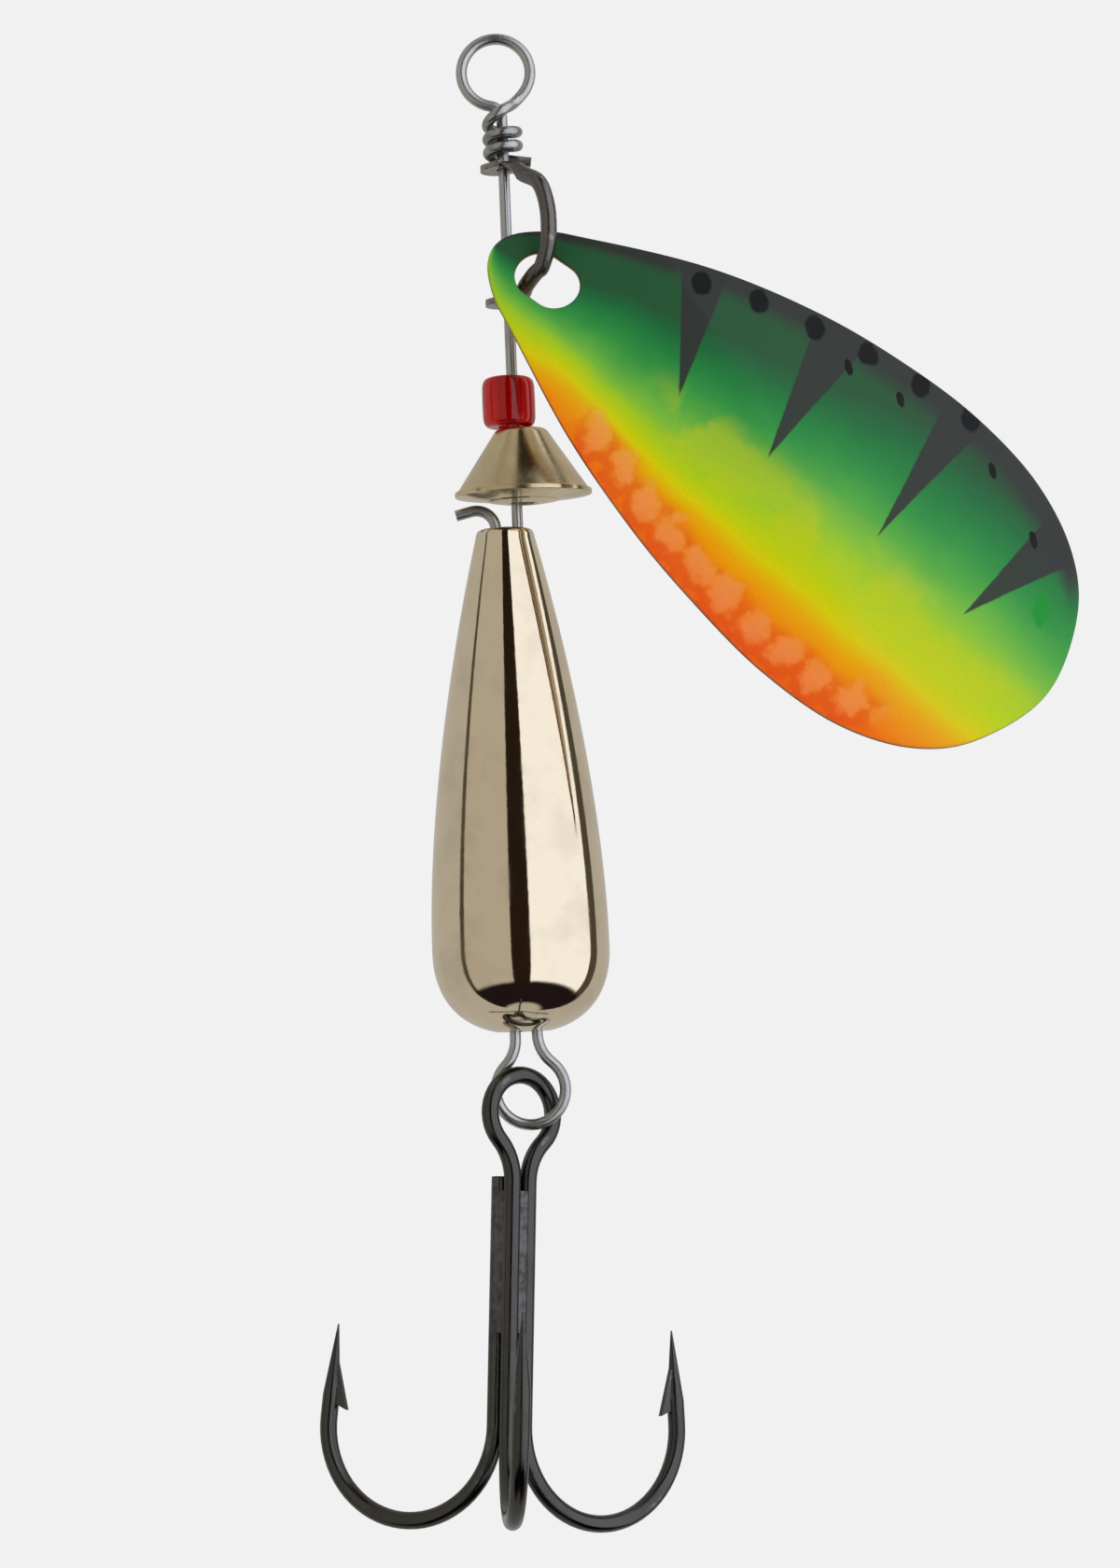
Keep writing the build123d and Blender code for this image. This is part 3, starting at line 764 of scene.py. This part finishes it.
    marks = g.group(
        shared_group("Handling marks", build_handling_marks),
        Roughness=0.42, Smudge=0.08, Scratch=0.10, Ripple=0.10,
    )
    g.feed(colour, shader.inputs["Base Color"])
    g.feed(marks["Roughness"], shader.inputs["Roughness"])
    coat_marks = g.smooth(g.noise(g.surface_place(), 900.0, 3.0), 0.62, 0.80, 1.0, 0.82)
    g.feed(g.math("MULTIPLY", coat_marks, PAINT_COAT), shader.inputs["Coat Weight"])
    shader.inputs["Coat Roughness"].default_value = paint.gloss
    shader.inputs["Specular IOR Level"].default_value = 0.12
    peel = g.noise(g.surface_place(), 1500.0, 2.0)
    bump = g.node("Bump", None, Strength=0.12, Distance=0.00002, Height=peel)
    g.feed(bump.outputs[0], shader.inputs["Normal"])
    return material


class SPINNER_OT_blade(Operator):
    """Build the painted blade, its cut edge and its plated back"""

    bl_idname = "spinner.blade"
    bl_label = "Build blade"

    def execute(self, context):
        paint, metal, _ = settings()
        verts, faces, place, finish = build_blade_mesh()
        blade = add_piece("blade_sheet", verts, faces, "blade", ["blade"])
        mesh = blade.data
        place_map = mesh.uv_layers.new(name="place")
        rim_map = mesh.uv_layers.new(name="rim")
        for loop in mesh.loops:
            s, w = place[loop.vertex_index]
            half = half_width(s)
            place_map.data[loop.index].uv = (s, w)
            band_half = half if s < BLADE_WIDEST else BLADE_WIDTH / 2
            rim_map.data[loop.index].uv = (max(-1.0, min(1.0, w / band_half)), w + half)
        mesh.polygons.foreach_set("material_index", finish)
        mesh.materials.append(blade_paint(paint))
        edge, *_ = plated_metal(
            "Blade cut edge", display(120, 96, 56), display(190, 160, 105), 0.35, 0.2, 0.2, 0.1
        )
        back, *_ = plated_metal(
            "Blade back", tuple(metal.gold), display(236, 214, 170), 0.10, 0.10, 0.12, 0.25
        )
        mesh.materials.append(edge)
        mesh.materials.append(back)
        return {"FINISHED"}


# ------------------------------------------------------------------ bead


class SPINNER_OT_bead(Operator):
    """Build the red glass bead"""

    bl_idname = "spinner.bead"
    bl_label = "Build bead"

    def execute(self, context):
        _, metal, stage = settings()
        low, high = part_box("bead")
        centre = (low + high) / 2
        radius, height = (high.x - low.x) / 2 / MM, (high.z - low.z) / MM
        profile = rounded(
            [
                (BEAD_BORE_R, height / 2, 0.16),
                (BEAD_BORE_R, -height / 2, 0.16),
                (radius - 0.02, -height / 2, BEAD_EDGE_R),
                (radius, 0.0, 0.0),
                (radius - 0.02, height / 2, BEAD_EDGE_R),
            ],
            8,
        )
        verts, faces = turned(profile, stage.lathe_steps)
        verts = [centre + v * MM for v in verts]
        bead = add_piece("bead_glass", verts, faces, "bead", ["bead"])
        material, g, shader = plain_material("Red glass")
        streak = g.noise(g.surface_place(), 900.0, 3.0, 0.6, (1.0, 1.0, 0.3))
        deep = tuple(c * 0.75 for c in metal.glass[:3]) + (1,)
        tone = g.mix(g.smooth(streak, 0.35, 0.65), deep, tuple(metal.glass))
        g.feed(tone, shader.inputs["Base Color"])
        shader.inputs["Transmission Weight"].default_value = 0.80
        shader.inputs["IOR"].default_value = 1.48
        smear = g.noise(g.surface_place(), 2600.0, 3.0)
        g.feed(g.smooth(smear, 0.45, 0.75, 0.02, 0.10), shader.inputs["Roughness"])
        bump = g.node("Bump", None, Strength=0.08, Distance=0.00003, Height=streak)
        g.feed(bump.outputs[0], shader.inputs["Normal"])
        bead.data.materials.append(material)
        return {"FINISHED"}


# ------------------------------------------------------------------ bell


class SPINNER_OT_bell(Operator):
    """Build the turned brass bell"""

    bl_idname = "spinner.bell"
    bl_label = "Build bell"

    def execute(self, context):
        _, metal, stage = settings()
        verts, faces = turned(rounded(BELL_OUTLINE, 6), stage.lathe_steps)
        low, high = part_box("bell")
        rim_z = high.z - (BELL_HEIGHT * math.cos(BELL_LEAN) + BELL_TOP_FLAT_R * math.sin(BELL_LEAN)) * MM
        place = Matrix.Translation(((low.x + high.x) / 2, 0, rim_z)) @ Matrix.Rotation(BELL_LEAN, 4, "X")
        verts = [place @ (v * MM) for v in verts]
        bell = add_piece("bell_turned", verts, faces, "bell", ["bell"])
        material, g, shader, _ = plated_metal(
            "Turned brass", tuple(metal.brass), display(250, 232, 190), 0.16, 0.12, 0.10, 0.12
        )
        # fine rings left by the turning tool
        height = g.node("SeparateXYZ", None, Vector=g.surface_place()).outputs[2]
        rings = g.math("SINE", g.math("MULTIPLY", height, 2 * math.pi / TOOL_RING_PITCH))
        uneven = g.noise(g.surface_place(), 3000.0, 2.0, 0.5, (0.1, 0.1, 1.0))
        cut = g.math("ADD", g.math("MULTIPLY", rings, 0.35), uneven)
        bump = g.node("Bump", None, Strength=0.22, Distance=0.000006, Height=cut)
        g.feed(bump.outputs[0], shader.inputs["Normal"])
        bell.data.materials.append(material)
        return {"FINISHED"}


# ------------------------------------------------------------------ body


class SPINNER_OT_body(Operator):
    """Build the gold-plated drop body"""

    bl_idname = "spinner.body"
    bl_label = "Build body"

    def execute(self, context):
        _, metal, stage = settings()
        low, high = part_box("body")
        radius, length = (high.x - low.x) / 2 / MM, (high.z - low.z) / MM
        profile = [(BODY_BORE_R, 0.0), (BODY_BORE_R, -length)]
        profile += [(BODY_BORE_R + BODY_BORE_LIP, -length), (BODY_FOOT_R, -length)]
        widest = (radius, -BODY_WIDEST)
        end = [(BODY_FOOT_R, -length), BODY_END_PULL, (radius, BODY_END_PULL_Z), widest]
        side = [widest, (radius, BODY_SIDE_PULL_Z), BODY_NECK_PULL, BODY_SHOULDER]
        shoulder = [BODY_SHOULDER, BODY_SHOULDER_PULL, (BODY_TOP_R, 0.0)]
        profile += bezier(end, 40) + bezier(side, 120) + bezier(shoulder, 10)
        verts, faces = turned(profile, stage.lathe_steps)
        top = Vector(((low.x + high.x) / 2, (low.y + high.y) / 2, high.z))
        verts = [top + v * MM for v in verts]
        body = add_piece("body_plated", verts, faces, "body", ["body"])
        material, g, shader, _ = plated_metal(
            "Gold plate", tuple(metal.gold), display(250, 236, 200), 0.045, 0.06, 0.05, 0.35, (1, 1, 1)
        )
        # plating ripple, longer along the body than round it
        place = g.surface_place()
        ripple = g.noise(place, 420.0, 3.0, 0.5, (1.0, 1.0, 0.55))
        grain = g.noise(place, 2600.0, 2.0, 0.5)
        lumps = g.math("MULTIPLY_ADD", grain, 0.30, ripple)
        bump = g.node("Bump", None, Strength=0.20, Distance=0.00003, Height=lumps)
        g.feed(bump.outputs[0], shader.inputs["Normal"])
        body.data.materials.append(material)
        return {"FINISHED"}


# ------------------------------------------------------------------ wire, clevis and hook


def finish_node(node, material):
    """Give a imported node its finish."""
    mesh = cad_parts[node].data
    mesh.materials.clear()
    mesh.materials.append(material)


class SPINNER_OT_wire(Operator):
    """Finish the shaft wire with its eye, wraps and loop, with shade painted between the wraps"""

    bl_idname = "spinner.wire"
    bl_label = "Finish wire"

    def execute(self, context):
        _, metal, _ = settings()
        material, g, shader, tone = plated_metal(
            "Drawn wire", tuple(metal.wire), display(225, 225, 222), 0.27, 0.14, 0.10, 0.2, (1, 1, 0.05)
        )
        # painted shade between the coils of the wraps, darker grey in patches
        height = g.node("SeparateXYZ", None, Vector=g.surface_place()).outputs[2]
        eye_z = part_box("shaft_wire")[1].z
        near_wraps = g.window(height, eye_z - WRAPS_LOW, eye_z - WRAPS_HIGH, WRAPS_FADE)
        patches = g.smooth(g.noise(g.surface_place(), 1400.0), 0.3, 0.6)
        wrap_shade = g.math("MULTIPLY", near_wraps, patches)
        tone = g.mix(g.math("MULTIPLY", wrap_shade, 0.45), tone, display(96, 96, 92))
        g.feed(tone, shader.inputs["Base Color"])
        finish_node("shaft_wire", material)
        return {"FINISHED"}


class SPINNER_OT_clevis(Operator):
    """Finish the clevis in dark nickel"""

    bl_idname = "spinner.clevis"
    bl_label = "Finish clevis"

    def execute(self, context):
        _, metal, _ = settings()
        material, *_ = plated_metal(
            "Dark nickel", tuple(metal.clevis), display(190, 180, 170), 0.20, 0.16, 0.18, 0.3, (1, 1, 1)
        )
        finish_node("clevis", material)
        return {"FINISHED"}


class SPINNER_OT_hook(Operator):
    """Finish the treble hook and the braze between its shanks"""

    bl_idname = "spinner.hook"
    bl_label = "Finish hook"

    def execute(self, context):
        _, metal, _ = settings()
        material, *_ = plated_metal(
            "Black nickel", tuple(metal.hook), display(130, 130, 132), 0.17, 0.20, 0.16, 0.35, (1, 1, 0.1)
        )
        for node in ("double_hook", "single_hook"):
            finish_node(node, material)
        dull = tuple(c * 0.85 for c in metal.hook[:3]) + (1,)
        braze, *_ = plated_metal(
            "Plated braze", dull, display(120, 120, 120), 0.30, 0.20, 0.20, 0.6, (1, 1, 1)
        )
        finish_node("braze", braze)
        return {"FINISHED"}


# ------------------------------------------------------------------ stage


def studio_sky(world, backdrop):
    """Soft boxes to the left and right with a dark gap between them, and a plain backdrop."""
    world.use_nodes = True
    tree = world.node_tree
    tree.nodes.clear()
    g = Graph(tree)
    way = g.node("SeparateXYZ", None, Vector=g.node("TexCoord").outputs["Generated"]).outputs
    round_to = g.math("ARCTAN2", way[0], g.math("MULTIPLY", way[1], -1.0))
    round_to = g.math("MULTIPLY", round_to, 180 / math.pi)
    up = g.math("MULTIPLY", g.math("ARCSINE", way[2]), 180 / math.pi)
    colour = SKY_WALL
    for low, high, bottom, top, soft, tint in SOFT_BOXES:
        box = g.math("MULTIPLY", g.window(round_to, low, high, soft), g.window(up, bottom, top, soft * 2))
        colour = g.mix(box, colour, tint)
    seen = g.node("Background", None, Color=(backdrop, backdrop, backdrop, 1), Strength=1.0)
    lit = g.node("Background", None, Color=colour, Strength=1.0)
    chosen = tree.nodes.new("ShaderNodeMixShader")
    g.feed(g.node("LightPath").outputs["Is Camera Ray"], chosen.inputs[0])
    g.feed(lit.outputs[0], chosen.inputs[1])
    g.feed(seen.outputs[0], chosen.inputs[2])
    output = tree.nodes.new("ShaderNodeOutputWorld")
    g.feed(chosen.outputs[0], output.inputs[0])


def add_soft_light(name, place, target, size, power):
    """Square soft light turned to a target and unseen in reflections."""
    light = bpy.data.lights.new(name, "AREA")
    light.shape = "SQUARE"
    light.size = size
    light.energy = power
    made = bpy.data.objects.new(name, light)
    made.location = place
    made.rotation_euler = (Vector(target) - Vector(place)).to_track_quat("-Z", "Y").to_euler()
    made.visible_glossy = False
    bpy.context.scene.collection.objects.link(made)


def set_camera(scene, stage):
    """Camera in front of the lure, tilted up and rolled about the way it looks."""
    forward = Vector((0, math.cos(stage.tilt), math.sin(stage.tilt)))
    side = Vector((1, 0, 0))
    upright = side.cross(forward)
    right = side * math.cos(stage.roll) + upright * math.sin(stage.roll)
    above = right.cross(forward)
    data = bpy.data.cameras.new("Camera")
    data.sensor_fit = "VERTICAL"
    data.sensor_height = 24.0
    data.lens = CAMERA_LENS
    data.clip_start = 0.005
    camera = bpy.data.objects.new("Camera", data)
    scene.collection.objects.link(camera)
    turn = Matrix((right, above, -forward)).transposed()
    place = Vector((CAMERA_SIDE, 0, CAMERA_HEIGHT)) - forward * stage.distance
    camera.matrix_world = Matrix.Translation(place) @ turn.to_4x4()
    scene.camera = camera


def lay_floor(scene, centre, radius):
    """Round pale floor made of rings."""
    verts = [centre]
    faces = []
    for ring in FLOOR_RINGS:
        for i in range(FLOOR_STEPS):
            a = 2 * math.pi * i / FLOOR_STEPS
            verts.append(centre + Vector((radius * ring * math.cos(a), radius * ring * math.sin(a), 0)))
    for k in range(len(FLOOR_RINGS)):
        inner, outer = 1 + (k - 1) * FLOOR_STEPS, 1 + k * FLOOR_STEPS
        for i in range(FLOOR_STEPS):
            j = (i + 1) % FLOOR_STEPS
            if k == 0:
                faces.append((0, outer + i, outer + j))
            else:
                faces.append((inner + i, outer + i, outer + j, inner + j))
    mesh = bpy.data.meshes.new("floor")
    mesh.from_pydata([tuple(v) for v in verts], [], faces)
    floor = bpy.data.objects.new("floor", mesh)
    scene.collection.objects.link(floor)
    floor.visible_glossy = False
    material, g, shader = plain_material("Pale floor")
    speck = g.noise(g.surface_place(), 60.0, 3.0)
    g.feed(g.mix(speck, (0.86, 0.86, 0.86, 1), (0.90, 0.90, 0.90, 1)), shader.inputs["Base Color"])
    shader.inputs["Roughness"].default_value = 0.9
    shader.inputs["Emission Color"].default_value = (1, 1, 1, 1)
    shader.inputs["Emission Strength"].default_value = 0.25
    mesh.materials.append(material)


class SPINNER_OT_stage(Operator):
    """Set the camera, the soft lights and the pale floor"""

    bl_idname = "spinner.stage"
    bl_label = "Set stage"

    def execute(self, context):
        _, _, stage = settings()
        scene = context.scene
        scene.view_settings.view_transform = "Standard"
        set_camera(scene, stage)
        scene.world = bpy.data.worlds.new("Studio")
        studio_sky(scene.world, stage.backdrop)
        low, high = CAD_BOX
        middle = (low + high) / 2
        for name, place, size, power in SOFT_LIGHTS:
            add_soft_light(name, place, middle, size, power)
        lay_floor(scene, Vector((middle.x, middle.y, low.z - stage.floor_drop)), stage.floor_radius)
        return {"FINISHED"}


class SPINNER_PT_panel(Panel):
    """Sizes, colours and build steps of the spinner"""

    bl_idname = "SPINNER_PT_panel"
    bl_label = "Inline Spinner"
    bl_space_type = "VIEW_3D"
    bl_region_type = "UI"
    bl_category = "Spinner"

    def draw(self, context):
        for group in settings():
            box = self.layout.box()
            for name in group.__annotations__:
                box.prop(group, name)
        for operator in OPERATORS:
            self.layout.operator(operator.bl_idname)


GROUPS = (SPINNER_PG_paint, SPINNER_PG_metal, SPINNER_PG_stage)
OPERATORS = (
    SPINNER_OT_stage,
    SPINNER_OT_wire,
    SPINNER_OT_clevis,
    SPINNER_OT_blade,
    SPINNER_OT_bead,
    SPINNER_OT_bell,
    SPINNER_OT_body,
    SPINNER_OT_hook,
)


def register():
    for item in GROUPS + OPERATORS + (SPINNER_PT_panel,):
        bpy.utils.register_class(item)
    bpy.types.Scene.spinner_paint = PointerProperty(type=SPINNER_PG_paint)
    bpy.types.Scene.spinner_metal = PointerProperty(type=SPINNER_PG_metal)
    bpy.types.Scene.spinner_stage = PointerProperty(type=SPINNER_PG_stage)


def unregister():
    del bpy.types.Scene.spinner_stage
    del bpy.types.Scene.spinner_metal
    del bpy.types.Scene.spinner_paint
    for item in reversed(GROUPS + OPERATORS + (SPINNER_PT_panel,)):
        bpy.utils.unregister_class(item)


def main():
    register()
    bpy.ops.spinner.stage()
    bpy.ops.spinner.wire()
    bpy.ops.spinner.clevis()
    bpy.ops.spinner.blade()
    bpy.ops.spinner.bead()
    bpy.ops.spinner.bell()
    bpy.ops.spinner.body()
    bpy.ops.spinner.hook()


if __name__ == "__main__":
    main()
